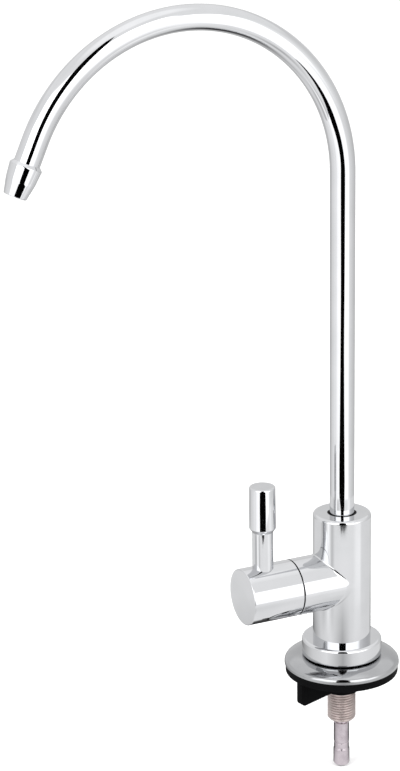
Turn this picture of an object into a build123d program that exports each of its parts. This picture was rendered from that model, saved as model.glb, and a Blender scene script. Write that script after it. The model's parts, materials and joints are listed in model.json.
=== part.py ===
from build123d import *
import math
import os

# Tap for filtered drinking water: a slim round body on a deck plate, a short valve arm with a
# quarter-turn lever, a thin swivelling gooseneck spout, and a threaded shank with a wing nut.
# Millimetres. The origin is the centre of the sealing face under the gasket, with +Z up.
# The valve arm and, at rest, the spout point along -Y.

# Driving dimensions
shank_diameter = 11.11
shank_below_deck = 20.9
inlet_diameter = 6.35
inlet_below_deck = 40.6
gasket_thickness = 3.2
plate_diameter = 44.7
plate_rise = 3.0
collar_diameter = 31.0
collar_height = 6.9
body_diameter = 22.5
arm_diameter = 21.9
arm_rise = 24.4
arm_reach = 21.5
hub_length = 21.1
lever_reach = 34.1
lever_height = 43.6
socket_depth = 15.4
tube_diameter = 9.5
tube_wall = 0.75
tube_straight = 134.1
bend_radius = 63.2
bend_angle = 156.0
tube_tip = 8.4
nozzle_diameter = 11.9
nozzle_length = 12.3
nut_height = 8.65
nut_reach = 20.8

# Fits shared by many pieces
running_gap = 0.05
face_gap = 0.03
press_ease = 0.01
seal_ease = 0.02
overrun = 2.0


def turned(*outline):
    """A solid turned about Z. A point is (radius, height) or (radius, height, corner radius)."""
    corners = [(point[0], 0, point[1]) for point in outline]
    rounds = [point[2] if len(point) > 2 else 0 for point in outline]
    return revolve(make_face(FilletPolyline(*corners, radius=rounds, close=True)), Axis.Z)


def washer(outer_radius, inner_radius, bottom, top):
    """A flat ring about Z."""
    return turned((inner_radius, bottom), (outer_radius, bottom), (outer_radius, top), (inner_radius, top))


def rod(radius, bottom, top):
    """A plain round bar about Z, used for shafts and for cutting bores."""
    return turned((0, bottom), (radius, bottom), (radius, top), (0, top))


def o_ring(inner_radius, outer_radius, middle):
    """A round-section seal about Z that fills the room between two walls, less a little ease."""
    section = (outer_radius - inner_radius) / 2 - seal_ease
    return Pos(0, 0, middle) * Torus((outer_radius + inner_radius) / 2, section)


def split_ring(outer_radius, inner_radius, bottom, top, opening):
    """A snap ring about Z with an opening in it."""
    gap = Pos(outer_radius, 0, (bottom + top) / 2) * Box(2 * outer_radius, opening, 2 * (top - bottom))
    return washer(outer_radius, inner_radius, bottom, top) - gap


# Stack on the deck, from the sealing face up
bead_height = 0.4
bead_width = 0.95
gasket_inset = 0.4
plate_lip = 0.8
collar_seal_thickness = 0.4
plate_top = gasket_thickness + plate_lip + plate_rise
collar_bottom = plate_top + collar_seal_thickness
collar_top = collar_bottom + collar_height
arm_height = collar_top + arm_rise
shank_radius = shank_diameter / 2
plate_radius = plate_diameter / 2
gasket_radius = plate_radius - gasket_inset
collar_radius = collar_diameter / 2
body_radius = body_diameter / 2
arm_radius = arm_diameter / 2
shank_hole_radius = shank_radius + running_gap

# The valve arm has its own frame: local Z runs out along the arm, local Y is up
arm_frame = Plane((0, 0, arm_height), x_dir=(1, 0, 0), z_dir=(0, -1, 0))

# Cover plate: pressed metal, a short lip, a tight shoulder and a shallow dome, open underneath
plate_thickness = 1.0
plate_slope = math.radians(28.0)
plate_shoulder_round = 1.8
plate_crown_round = 11.8
plate_inner_shoulder_round = 0.8
plate_inner_crown_round = 10.0


def cover_plate():
    lip_top = gasket_thickness + plate_lip
    shoulder = lip_top + plate_shoulder_round * math.tan(math.pi / 4 - plate_slope / 2)
    crown = plate_radius - (plate_top - shoulder) / math.tan(plate_slope)
    lip_inside = plate_radius - plate_thickness
    shoulder_inside = shoulder + plate_thickness * (math.sin(plate_slope) - 1) / math.cos(plate_slope)
    crown_inside = crown - plate_thickness * math.tan(plate_slope / 2)
    ceiling = plate_top - plate_thickness
    return turned(
        (shank_hole_radius, ceiling),
        (crown_inside, ceiling, plate_inner_crown_round),
        (lip_inside, shoulder_inside, plate_inner_shoulder_round),
        (lip_inside, gasket_thickness),
        (plate_radius, gasket_thickness),
        (plate_radius, shoulder, plate_shoulder_round),
        (crown, plate_top, plate_crown_round),
        (shank_hole_radius, plate_top),
    )


# Gasket: a rubber disc with a boss that fills the plate's crown and a sealing bead at its rim
gasket_boss_radius = 14.4


def deck_gasket():
    bead_inside = gasket_radius - bead_width
    boss_top = plate_top - plate_thickness
    return turned(
        (shank_hole_radius, bead_height),
        (bead_inside, bead_height),
        (bead_inside, 0),
        (gasket_radius, 0),
        (gasket_radius, gasket_thickness),
        (gasket_boss_radius, gasket_thickness),
        (gasket_boss_radius, boss_top),
        (shank_hole_radius, boss_top),
    )


# Collar: a turned ring round the body's spigot, on a thin seal that shows as a dark line
body_spigot_radius = 9.0
collar_top_round = 1.1
collar_bottom_round = 0.8
collar_seal_inset = 1.0
collar_seal_width = 2.6


def base_collar():
    bore_radius = body_spigot_radius + press_ease
    return turned(
        (bore_radius, collar_bottom),
        (collar_radius, collar_bottom, collar_bottom_round),
        (collar_radius, collar_top, collar_top_round),
        (bore_radius, collar_top),
    )


def collar_seal():
    outside = collar_radius - collar_seal_inset
    return washer(outside, outside - collar_seal_width, plate_top, collar_bottom)


# Waterway sizes in the body
chamber_radius = 8.0
chamber_back = 1.0
mouth_radius = 9.0
mouth_depth = 3.7
shank_grip = 14.0
shank_seal_thickness = 1.5
riser_radius = 2.0
riser_offset = 3.4
outlet_radius = 1.9
outlet_offset = 3.4
socket_web = 3.8
tail_radius = 5.55
shank_top = plate_top + shank_grip
shank_socket_roof = shank_top + shank_seal_thickness
socket_radius = tail_radius + running_gap
socket_floor = arm_height + chamber_radius + socket_web
body_top = socket_floor + socket_depth

# Body: a forged and turned upright with the valve arm across it
body_top_round = 1.2
arm_edge_round = 0.3


def tap_body():
    upright = turned(
        (0, plate_top),
        (body_spigot_radius, plate_top),
        (body_spigot_radius, collar_top),
        (body_radius, collar_top),
        (body_radius, body_top, body_top_round),
        (0, body_top),
    )
    arm = turned((0, 0), (arm_radius, 0), (arm_radius, arm_reach, arm_edge_round), (0, arm_reach))
    chamber = rod(chamber_radius, chamber_back, arm_reach + overrun)
    mouth = rod(mouth_radius, arm_reach - mouth_depth, arm_reach + overrun)
    seat_port = rod(riser_radius, -riser_offset, chamber_back + overrun)
    riser = Pos(0, riser_offset, 0) * rod(riser_radius, shank_socket_roof - overrun, arm_height)
    outlet_start = arm_height + chamber_radius - outlet_radius / 2
    outlet = Pos(0, -outlet_offset, 0) * rod(outlet_radius, outlet_start, socket_floor + outlet_radius)
    shank_socket = rod(shank_radius + press_ease, plate_top - overrun, shank_socket_roof)
    spout_socket = rod(socket_radius, socket_floor, body_top + overrun)
    solid = upright + arm_frame * arm
    for cutter in (arm_frame * chamber, arm_frame * mouth, arm_frame * seat_port, riser, outlet):
        solid -= cutter
    return solid - shank_socket - spout_socket


# Shank: a hollow threaded stud, drawn to its thread's crests, with the inlet stem in its foot
shank_bore_radius = 2.2
shank_end_chamfer = 0.9
stem_socket_depth = 15.0
stem_neck_radius = 3.05
stem_bore_radius = 2.0
stem_seal_thickness = 1.2
stem_end_round = 0.9
spigot_length = 9.4
spigot_groove_width = 0.6
spigot_groove_depth = 0.25
shank_foot = -shank_below_deck
stem_foot = -inlet_below_deck
stem_socket_radius = stem_neck_radius + running_gap
stem_socket_roof = shank_foot + stem_socket_depth
stem_top = stem_socket_roof - stem_seal_thickness


def threaded_shank():
    return turned(
        (stem_socket_radius, shank_foot),
        (shank_radius - shank_end_chamfer, shank_foot),
        (shank_radius, shank_foot + shank_end_chamfer),
        (shank_radius, shank_top),
        (shank_bore_radius, shank_top),
        (shank_bore_radius, stem_socket_roof),
        (stem_socket_radius, stem_socket_roof),
    )


def shank_seal():
    return washer(shank_radius - seal_ease, shank_bore_radius, shank_top, shank_socket_roof)


def inlet_stem():
    spigot_radius = inlet_diameter / 2
    groove_bottom = stem_foot + spigot_length
    groove_top = groove_bottom + spigot_groove_width
    groove_radius = stem_neck_radius - spigot_groove_depth
    return turned(
        (stem_bore_radius, stem_foot),
        (spigot_radius, stem_foot, stem_end_round),
        (spigot_radius, groove_bottom),
        (groove_radius, groove_bottom),
        (groove_radius, groove_top),
        (stem_neck_radius, groove_top),
        (stem_neck_radius, stem_top),
        (stem_bore_radius, stem_top),
    )


def stem_seal():
    return washer(stem_neck_radius, stem_bore_radius, stem_top, stem_socket_roof)


# Valve cartridge, along the arm from the seat outwards
seat_seal_thickness = 1.4
seat_seal_outer = 5.2
seat_seal_inner = 3.5
disc_radius = 5.6
fixed_disc_thickness = 2.2
moving_disc_thickness = 2.2
moving_disc_inset = 0.2
port_radius = 1.3
port_circle = 2.0
notch_width = 2.8
notch_start = 0.9
cage_wall = 1.25
flange_thickness = 3.4
flange_gap = 0.1
flange_groove_width = 1.6
flange_groove_radius = 6.7
neck_radius = 6.0
window_width = 7.0
spindle_radius = 3.5
tongue_width = 2.0
tongue_depth = 0.9
spindle_flange_thickness = 1.45
housing_shoulder_gap = 0.1
housing_end = arm_reach - 2.5
fixed_disc_start = chamber_back + seat_seal_thickness
moving_disc_start = fixed_disc_start + fixed_disc_thickness + face_gap
moving_disc_end = moving_disc_start + moving_disc_thickness
spindle_flange_start = moving_disc_end + face_gap
spindle_flange_end = spindle_flange_start + spindle_flange_thickness
cage_end = spindle_flange_end + housing_shoulder_gap
flange_end = cage_end + flange_thickness
cage_inner = disc_radius + running_gap
cage_outer = cage_inner + cage_wall
flange_radius = chamber_radius - flange_gap
spindle_hole_radius = spindle_radius + running_gap


def seat_seal():
    return arm_frame * washer(seat_seal_outer, seat_seal_inner, chamber_back, fixed_disc_start)


def fixed_disc():
    solid = rod(disc_radius, fixed_disc_start, fixed_disc_start + fixed_disc_thickness)
    for side in (-1, 1):
        port = rod(port_radius, chamber_back, moving_disc_end)
        solid -= Pos(side * port_circle, 0, 0) * port
    return arm_frame * solid


def moving_disc():
    """The disc that the spindle turns. Its notches stand a quarter turn from the ports: closed."""
    radius = disc_radius - moving_disc_inset
    solid = rod(radius, moving_disc_start, moving_disc_end)
    notch_length = radius - notch_start + overrun
    for side in (-1, 1):
        notch = Box(notch_width, notch_length, 2 * moving_disc_thickness + overrun)
        solid -= Pos(0, side * (notch_start + notch_length / 2), moving_disc_start) * notch
    slot = Box(4 * radius, tongue_width + 2 * running_gap, 2 * (tongue_depth + face_gap))
    return arm_frame * (solid - Pos(0, 0, moving_disc_end) * slot)


def cartridge_housing():
    groove_start = cage_end + (flange_thickness - flange_groove_width) / 2
    groove_end = groove_start + flange_groove_width
    solid = turned(
        (cage_inner, fixed_disc_start),
        (cage_outer, fixed_disc_start),
        (cage_outer, cage_end),
        (flange_radius, cage_end),
        (flange_radius, groove_start),
        (flange_groove_radius, groove_start),
        (flange_groove_radius, groove_end),
        (flange_radius, groove_end),
        (flange_radius, flange_end),
        (neck_radius, flange_end),
        (neck_radius, housing_end),
        (spindle_hole_radius, housing_end),
        (spindle_hole_radius, cage_end),
        (cage_inner, cage_end),
    )
    window_length = spindle_flange_end - moving_disc_start
    window = Box(window_width, 4 * cage_outer, window_length)
    return arm_frame * (solid - Pos(0, 0, moving_disc_start + window_length / 2) * window)


def cartridge_o_ring():
    return arm_frame * o_ring(flange_groove_radius, chamber_radius, (cage_end + flange_end) / 2)


# Bonnet nut: holds the cartridge in the arm, with its hexagon inside the arm's mouth
bonnet_hex_across = 15.0
bonnet_hex_height = 3.0
bonnet_thread_gap = 0.03


def bonnet_nut():
    shoulder = arm_reach - mouth_depth
    thread = rod(chamber_radius - bonnet_thread_gap, flange_end, shoulder)
    hexagon = extrude(RegularPolygon(bonnet_hex_across / 2, 6, major_radius=False), bonnet_hex_height)
    bore = rod(neck_radius, flange_end - overrun, arm_reach + overrun)
    return arm_frame * (thread + Pos(0, 0, shoulder) * hexagon - bore)


# Spindle: one turned piece from the disc's tongue out to the hub, with a flat for the lever's stud
spindle_ring_radius = 2.55
spindle_ring_width = 1.3
spindle_ring_shares = (0.3, 0.7)
clip_thickness = 0.7
clip_groove_radius = 2.9
clip_outer_radius = 4.6
clip_opening = 4.2
thrust_thickness = 0.55
thrust_outer_radius = 5.4
stud_radius = 2.5
stud_flat_rise = 3.1
spindle_past_lever = 3.9
clip_start = housing_end + face_gap + thrust_thickness
clip_end = clip_start + clip_thickness
spindle_end = lever_reach + spindle_past_lever
spindle_ring_places = [cage_end + share * (housing_end - cage_end) for share in spindle_ring_shares]


def spindle():
    tongue = Box(2 * (disc_radius - moving_disc_inset), tongue_width, tongue_depth + face_gap)
    tongue_middle = spindle_flange_start - (tongue_depth + face_gap) / 2
    solid = rod(disc_radius - moving_disc_inset, spindle_flange_start, spindle_flange_end)
    solid += rod(spindle_radius, spindle_flange_start, spindle_end)
    solid += Pos(0, 0, tongue_middle) * tongue
    for middle in spindle_ring_places:
        half = spindle_ring_width / 2
        solid -= washer(spindle_radius + overrun, spindle_ring_radius, middle - half, middle + half)
    solid -= washer(spindle_radius + overrun, clip_groove_radius, clip_start, clip_end)
    flat = Box(4 * spindle_radius, 2 * spindle_radius, 2 * stud_radius + overrun)
    return arm_frame * (solid - Pos(0, stud_flat_rise + spindle_radius, lever_reach) * flat)


def spindle_o_rings():
    rings = [o_ring(spindle_ring_radius, spindle_hole_radius, middle) for middle in spindle_ring_places]
    return Compound([arm_frame * ring for ring in rings])


def spindle_clip():
    return arm_frame * split_ring(clip_outer_radius, clip_groove_radius, clip_start, clip_end, clip_opening)


def thrust_washer():
    return arm_frame * washer(thrust_outer_radius, spindle_radius, housing_end + face_gap, clip_start)


# Hub: the turning end of the arm, with a thin slip ring in the joint line
joint_gap = 0.3
hub_front_round = 0.45
hub_rear_round = 0.3
hub_recess_radius = 9.0
hub_recess_depth = 2.5
slip_ring_inset = 0.4
neck_seat_rise = 7.5
hub_start = arm_reach + joint_gap
hub_end = hub_start + hub_length


def hub_slip_ring():
    outside = arm_radius - arm_edge_round - slip_ring_inset
    return arm_frame * washer(outside, mouth_radius, arm_reach, hub_start - face_gap)


def handle_hub():
    solid = turned(
        (0, hub_start + hub_recess_depth),
        (hub_recess_radius, hub_start + hub_recess_depth),
        (hub_recess_radius, hub_start),
        (arm_radius, hub_start, hub_rear_round),
        (arm_radius, hub_end, hub_front_round),
        (0, hub_end),
    )
    solid = arm_frame * (solid - rod(spindle_radius + press_ease, hub_start, spindle_end))
    neck_seat = rod(lever_neck_radius + press_ease, neck_seat_rise, 2 * arm_radius)
    stud_hole = rod(stud_radius, 0, 2 * arm_radius)
    return solid - lever_place * neck_seat - lever_place * stud_hole


# Lever: an upright turned pin with a slightly thicker grip, screwed to the hub by a stud
lever_neck_radius = 4.05
grip_foot_radius = 5.2
grip_top_radius = 5.0
grip_foot_rise = 25.5
grip_chamfer_height = 1.6
grip_top_round = 0.6
stud_in_lever = 6.5
lever_place = Pos(0, -lever_reach, arm_height)


def lever():
    solid = turned(
        (0, neck_seat_rise),
        (lever_neck_radius, neck_seat_rise),
        (lever_neck_radius, grip_foot_rise),
        (grip_foot_radius, grip_foot_rise + grip_chamfer_height),
        (grip_top_radius, lever_height, grip_top_round),
        (0, lever_height),
    )
    return lever_place * (solid - rod(stud_radius, 0, neck_seat_rise + stud_in_lever))


def lever_stud():
    return lever_place * rod(stud_radius, stud_flat_rise, neck_seat_rise + stud_in_lever)


# Spout: tube, its tail in the body's socket, seals, and the bush that keeps it in
tube_radius = tube_diameter / 2
tube_bore_radius = tube_radius - tube_wall
tail_spigot = 4.6
tail_bore_radius = 2.6
tail_floor_gap = 0.3
tail_ring_radius = 4.35
tail_ring_width = 1.6
tail_ring_shares = (0.28, 0.72)
bush_height = 4.4
bush_below_top = 0.3
glide_edge = 0.05
glide_thickness = 0.84
bush_top = body_top - bush_below_top
bush_foot = bush_top - bush_height
tail_foot = socket_floor + tail_floor_gap
tail_top = bush_foot - glide_thickness - 2 * face_gap
bend_height = body_top + tube_straight
tail_ring_places = [tail_foot + share * (tail_top - tail_foot) for share in tail_ring_shares]
bend_end = math.radians(bend_angle)
bend_end_point = Vector(
    0,
    -bend_radius * (1 - math.cos(bend_end)),
    bend_height + bend_radius * math.sin(bend_end),
)
spout_direction = Vector(0, -math.sin(bend_end), math.cos(bend_end))
nozzle_start = bend_end_point + spout_direction * tube_tip

# The nozzle has its own frame: local Z runs out of the spout
nozzle_frame = Plane(nozzle_start, x_dir=(1, 0, 0), z_dir=spout_direction)


def spout_tube():
    section = Circle(tube_radius) - Circle(tube_bore_radius)
    straight = extrude(Pos(0, 0, tail_top) * section, bend_height - tail_top)
    bend_axis = Axis((0, -bend_radius, bend_height), (1, 0, 0))
    bend = revolve(Pos(0, 0, bend_height) * section, bend_axis, bend_angle)
    tip = washer(tube_radius, tube_bore_radius, -tube_tip, nozzle_grip)
    return straight + bend + nozzle_frame * tip


def spout_tail():
    solid = turned(
        (tail_bore_radius, tail_foot),
        (tail_radius, tail_foot),
        (tail_radius, tail_top),
        (tube_bore_radius, tail_top),
        (tube_bore_radius, tail_top + tail_spigot),
        (tail_bore_radius, tail_top + tail_spigot),
    )
    for middle in tail_ring_places:
        half = tail_ring_width / 2
        solid -= washer(tail_radius + overrun, tail_ring_radius, middle - half, middle + half)
    return solid


def spout_o_rings():
    return Compound([o_ring(tail_ring_radius, socket_radius, middle) for middle in tail_ring_places])


def spout_glide_ring():
    return washer(tail_radius, tube_radius + glide_edge, tail_top + face_gap, bush_foot - face_gap)


def spout_bush():
    return washer(socket_radius, tube_radius + running_gap, bush_foot, bush_top)


# Nozzle: a tapered outlet over the tube's end, with a seal and a flow straightener inside
nozzle_grip = 5.0
nozzle_shoulder_radius = 4.95
nozzle_shoulder_length = 1.1
nozzle_widest_round = 0.5
nozzle_mouth_radius = 4.2
nozzle_mouth_round = 0.4
nozzle_belly = 0.3
nozzle_bore_radius = 3.3
nozzle_seal_thickness = 0.8
straightener_length = 3.6
straightener_inset = 0.8
straightener_hole_radius = 0.62
straightener_hole_circle = 2.1
straightener_holes = 6


def nozzle():
    half_way = (nozzle_shoulder_length + nozzle_length) / 2
    belly_radius = (nozzle_diameter / 2 + nozzle_mouth_radius) / 2 + nozzle_belly
    solid = turned(
        (0, 0),
        (nozzle_shoulder_radius, 0),
        (nozzle_diameter / 2, nozzle_shoulder_length, nozzle_widest_round),
        (belly_radius, half_way, nozzle_length),
        (nozzle_mouth_radius, nozzle_length, nozzle_mouth_round),
        (0, nozzle_length),
    )
    socket = rod(tube_radius + press_ease, -overrun, nozzle_grip + nozzle_seal_thickness)
    return nozzle_frame * (solid - socket - rod(nozzle_bore_radius, 0, nozzle_length + overrun))


def nozzle_seal():
    return nozzle_frame * washer(
        tube_radius - seal_ease, nozzle_bore_radius, nozzle_grip, nozzle_grip + nozzle_seal_thickness
    )


def flow_straightener():
    end = nozzle_length - straightener_inset
    solid = rod(nozzle_bore_radius, end - straightener_length, end)
    hole = rod(straightener_hole_radius, 0, nozzle_length)
    solid -= hole
    for turn in range(straightener_holes):
        solid -= Rot(0, 0, turn * 360 / straightener_holes) * Pos(straightener_hole_circle, 0, 0) * hole
    return nozzle_frame * solid


# Wing nut and the thin washer that sits loose in its top
washer_thickness = 1.2
washer_radius = 7.4
washer_under_gasket = 0.05
nut_under_gasket = 0.15
nut_top_radius = 9.0
nut_foot_radius = 6.9
nut_edge_round = 0.5
wing_thickness = 3.5
wing_root_radius = 6.2
wing_drop = 1.75
wing_corner_round = 1.8
wing_angle = 10.0
washer_top = bead_height - washer_under_gasket
washer_foot = washer_top - washer_thickness
nut_top = bead_height - nut_under_gasket
nut_foot = nut_top - nut_height


def clamp_washer():
    return washer(washer_radius, shank_hole_radius, washer_foot, washer_top)


def wing_nut():
    core = turned(
        (0, nut_foot),
        (nut_foot_radius, nut_foot, nut_edge_round),
        (nut_top_radius, nut_top),
        (0, nut_top),
    )
    wing = FilletPolyline(
        (0, 0, nut_top),
        (nut_reach, 0, nut_top),
        (nut_reach, 0, nut_foot - wing_drop),
        (wing_root_radius, 0, nut_foot),
        (0, 0, nut_foot),
        radius=[0, 0, wing_corner_round, 0, 0],
        close=True,
    )
    blade = extrude(make_face(wing), wing_thickness / 2, dir=(0, 1, 0), both=True)
    solid = core + blade + Rot(0, 0, 180) * blade
    recess = rod(washer_radius + running_gap, washer_foot - face_gap, nut_top + overrun)
    bore = rod(shank_hole_radius, nut_foot - overrun, nut_top + overrun)
    return Rot(0, 0, wing_angle - 90) * (solid - recess - bore)


nodes = {
    "tap_body": tap_body(),
    "base_collar": base_collar(),
    "collar_seal": collar_seal(),
    "cover_plate": cover_plate(),
    "deck_gasket": deck_gasket(),
    "threaded_shank": threaded_shank(),
    "shank_seal": shank_seal(),
    "inlet_stem": inlet_stem(),
    "stem_seal": stem_seal(),
    "seat_seal": seat_seal(),
    "fixed_disc": fixed_disc(),
    "cartridge_housing": cartridge_housing(),
    "cartridge_o_ring": cartridge_o_ring(),
    "bonnet_nut": bonnet_nut(),
    "hub_slip_ring": hub_slip_ring(),
    "spout_bush": spout_bush(),
    "moving_disc": moving_disc(),
    "spindle": spindle(),
    "spindle_o_rings": spindle_o_rings(),
    "thrust_washer": thrust_washer(),
    "spindle_clip": spindle_clip(),
    "handle_hub": handle_hub(),
    "lever": lever(),
    "lever_stud": lever_stud(),
    "spout_tube": spout_tube(),
    "spout_tail": spout_tail(),
    "spout_o_rings": spout_o_rings(),
    "spout_glide_ring": spout_glide_ring(),
    "nozzle": nozzle(),
    "nozzle_seal": nozzle_seal(),
    "flow_straightener": flow_straightener(),
    "clamp_washer": clamp_washer(),
    "wing_nut": wing_nut(),
}

os.makedirs("parts", exist_ok=True)
for name, shape in nodes.items():
    export_step(shape, f"parts/{name}.step")
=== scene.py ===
import json
import math

import bmesh
import bpy
import numpy as np
from mathutils import Matrix, Vector


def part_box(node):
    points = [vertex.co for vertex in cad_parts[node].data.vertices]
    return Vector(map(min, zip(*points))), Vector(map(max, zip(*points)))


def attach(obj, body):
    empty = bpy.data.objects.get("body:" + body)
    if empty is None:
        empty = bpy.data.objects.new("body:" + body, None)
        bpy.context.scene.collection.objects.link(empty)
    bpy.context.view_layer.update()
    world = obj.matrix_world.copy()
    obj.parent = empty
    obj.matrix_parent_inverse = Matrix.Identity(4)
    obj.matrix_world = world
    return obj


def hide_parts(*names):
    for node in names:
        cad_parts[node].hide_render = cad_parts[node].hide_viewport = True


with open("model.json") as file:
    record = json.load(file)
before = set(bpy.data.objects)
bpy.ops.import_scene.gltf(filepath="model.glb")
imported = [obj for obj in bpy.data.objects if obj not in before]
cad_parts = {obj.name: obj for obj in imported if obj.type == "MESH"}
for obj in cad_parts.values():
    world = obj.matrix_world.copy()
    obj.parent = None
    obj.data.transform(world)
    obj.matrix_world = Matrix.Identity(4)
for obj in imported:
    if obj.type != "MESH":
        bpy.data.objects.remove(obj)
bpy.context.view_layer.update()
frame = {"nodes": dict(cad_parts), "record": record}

# Tap for filtered drinking water. Metres. The origin is the centre of the sealing face under the
# gasket, +Z is up, and the valve arm and the spout point along -Y.
MM = 0.001

# Camera, solved from the outlines of the tap in the photograph
camera_azimuth = math.radians(64.884)
camera_elevation = math.radians(18.562)
camera_roll = math.radians(-0.898)
camera_place = Vector((0.84624, -0.45604, 0.440239))
camera_focal_pixels = 2679.904
picture_height = 771
sensor_width = 36.0
toward_camera = Vector((math.sin(camera_azimuth), -math.cos(camera_azimuth), 0))


def photo_camera():
    camera = bpy.data.cameras.new("photo_camera")
    camera.sensor_width = sensor_width
    camera.lens = camera_focal_pixels / picture_height * sensor_width
    viewer = bpy.data.objects.new("photo_camera", camera)
    viewer.matrix_world = (
        Matrix.Translation(camera_place)
        @ Matrix.Rotation(camera_azimuth, 4, "Z")
        @ Matrix.Rotation(math.pi / 2 - camera_elevation, 4, "X")
        @ Matrix.Rotation(camera_roll, 4, "Z")
    )
    bpy.context.scene.collection.objects.link(viewer)
    bpy.context.scene.camera = viewer


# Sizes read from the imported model
def span(node):
    """The half width of an upright node, its foot and its top."""
    low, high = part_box(node)
    return high.x, low.z, high.z


plate_radius, plate_foot, plate_top = span("cover_plate")
gasket_radius, gasket_foot, gasket_top = span("deck_gasket")
collar_radius, collar_foot, collar_top = span("base_collar")
shank_radius, shank_foot, shank_top = span("threaded_shank")
stem_radius, stem_foot, stem_top = span("inlet_stem")
bush_radius, bush_foot, bush_top = span("spout_bush")
washer_radius, washer_foot, washer_top = span("clamp_washer")
tube_radius, tube_foot, bend_top = span("spout_tube")
lever_radius, lever_foot, lever_top = span("lever")
lever_place_y = sum(corner.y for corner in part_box("lever")) / 2
stud_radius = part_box("lever_stud")[1].x
stud_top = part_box("lever_stud")[1].z
body_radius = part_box("tap_body")[1].x
body_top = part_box("tap_body")[1].z
arm_mouth = -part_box("tap_body")[0].y
arm_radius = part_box("handle_hub")[1].x
arm_height = sum(corner.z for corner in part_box("handle_hub")) / 2
hub_end, hub_start = (-corner.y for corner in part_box("handle_hub"))
ring_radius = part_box("hub_slip_ring")[1].x
ring_end = -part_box("hub_slip_ring")[0].y
spindle_end = -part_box("spindle")[0].y

# Frames that the turned pieces sit in: their local Z is the piece's own axis
upright = Matrix.Identity(4)
along_arm = Matrix.Translation((0, 0, arm_height)) @ Matrix.Rotation(math.pi / 2, 4, "X")
along_lever = Matrix.Translation((0, lever_place_y, 0))

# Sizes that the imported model's boxes don't give
gap = 0.01 * MM
play = 0.05 * MM
spindle_radius = 3.5 * MM
stem_neck_radius = 3.05 * MM
shank_bore_radius = stem_neck_radius + play
stem_bore_radius = 2.0 * MM
body_spigot_radius = 9.0 * MM
tube_wall = 0.75 * MM
bend_radius = 63.2 * MM
bend_angle = math.radians(156.0)
tube_tip = 8.4 * MM
nozzle_grip = 5.0 * MM
nozzle_length = 12.3 * MM
nozzle_radius = 5.95 * MM
bend_foot = bend_top - bend_radius - tube_radius


# Turned pieces: an outline of (radius, height) corners, each with an optional round
arc_step = math.radians(7.5)
turn_steps = 192
shortest_run = 1e-7
on_axis = 1e-9


def outline_runs(outline):
    """Straight runs and rounds of a closed outline, as (start, end, normal at start, normal at end)."""
    corners = [Vector(point[:2]) for point in outline]
    rounds = [point[2] if len(point) > 2 else 0 for point in outline]
    arcs = []
    for index, corner in enumerate(corners):
        before = (corners[index - 1] - corner).normalized()
        after = (corners[(index + 1) % len(corners)] - corner).normalized()
        radius = rounds[index]
        normal_in = Vector((-before.y, before.x))
        normal_out = Vector((after.y, -after.x))
        if radius == 0:
            arcs.append([(corner, normal_in), (corner, normal_out)])
            continue
        turn = math.atan2(normal_in.cross(normal_out), normal_in.dot(normal_out))
        reach = radius * math.tan(abs(turn) / 2)
        side = math.copysign(1, turn)
        centre = corner + before * reach - normal_in * radius * side
        steps = max(2, math.ceil(abs(turn) / arc_step))
        arc = []
        for step in range(steps + 1):
            angle = turn * step / steps
            normal = Matrix.Rotation(angle, 2) @ normal_in
            arc.append((centre + normal * radius * side, normal))
        arcs.append(arc)
    runs = []
    for index, arc in enumerate(arcs):
        for (start, normal_start), (end, normal_end) in zip(arc, arc[1:]):
            if (end - start).length > shortest_run:
                runs.append((start, end, normal_start, normal_end))
        start = arc[-1][0]
        end, normal = arcs[(index + 1) % len(arcs)][0]
        if (end - start).length > shortest_run and max(start.x, end.x) > on_axis:
            runs.append((start, end, normal, normal))
    return runs


def mesh_piece(name, points, faces, normals=None):
    """An object from points, faces and a normal for each face corner."""
    mesh = bpy.data.meshes.new(name)
    mesh.from_pydata([tuple(point) for point in points], [], faces)
    mesh.shade_smooth()
    if normals is not None:
        mesh.normals_split_custom_set([tuple(normal) for normal in normals])
    piece = bpy.data.objects.new(name, mesh)
    bpy.context.scene.collection.objects.link(piece)
    return piece


def turned(name, outline, place=upright, steps=turn_steps):
    """A closed piece turned about the place's Z, with the exact normals of its outline."""
    runs = outline_runs(outline)
    rows = {}
    points = []
    faces = []
    normals = []
    angles = [2 * math.pi * step / steps for step in range(steps)]
    around = [(math.cos(angle), math.sin(angle)) for angle in angles]
    turn = place.to_3x3()

    def row(corner):
        key = (round(corner.x / MM, 5), round(corner.y / MM, 5))
        if key not in rows:
            first = len(points)
            if corner.x < on_axis:
                points.append(place @ Vector((0, 0, corner.y)))
                rows[key] = [first] * steps
            else:
                points.extend(place @ Vector((corner.x * c, corner.x * s, corner.y)) for c, s in around)
                rows[key] = list(range(first, first + steps))
        return rows[key]

    def outward(normal):
        return [turn @ Vector((normal.x * c, normal.x * s, normal.y)) for c, s in around]

    for start, end, normal_start, normal_end in runs:
        low, high = row(start), row(end)
        out_low, out_high = outward(normal_start), outward(normal_end)
        for step in range(steps):
            after = (step + 1) % steps
            corners = [
                (low[step], out_low[step]),
                (low[after], out_low[after]),
                (high[after], out_high[after]),
                (high[step], out_high[step]),
            ]
            if low[step] == low[after]:
                del corners[1]
            elif high[step] == high[after]:
                del corners[2]
            faces.append([corner for corner, _ in corners])
            normals.extend(normal for _, normal in corners)
    return mesh_piece(name, points, faces, normals)


def ring_outline(inner, outer, foot, top, edge=0):
    return (inner, foot), (outer, foot, edge), (outer, top, edge), (inner, top)


def rod_outline(radius, foot, top):
    return (0, foot), (radius, foot), (radius, top), (0, top)


# Joined pieces: a Boolean, then exact normals from the distance to each turned surface
speck = 0.002 * MM
weld = 0.1 * MM
tiny = 1e-12
surface_tolerance = 0.02 * MM
bore_edge_angle = math.radians(25)
facing_away = -0.2
fillet_passes = 30
pulls_in_pass = 3
last_pulls = 4


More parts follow.
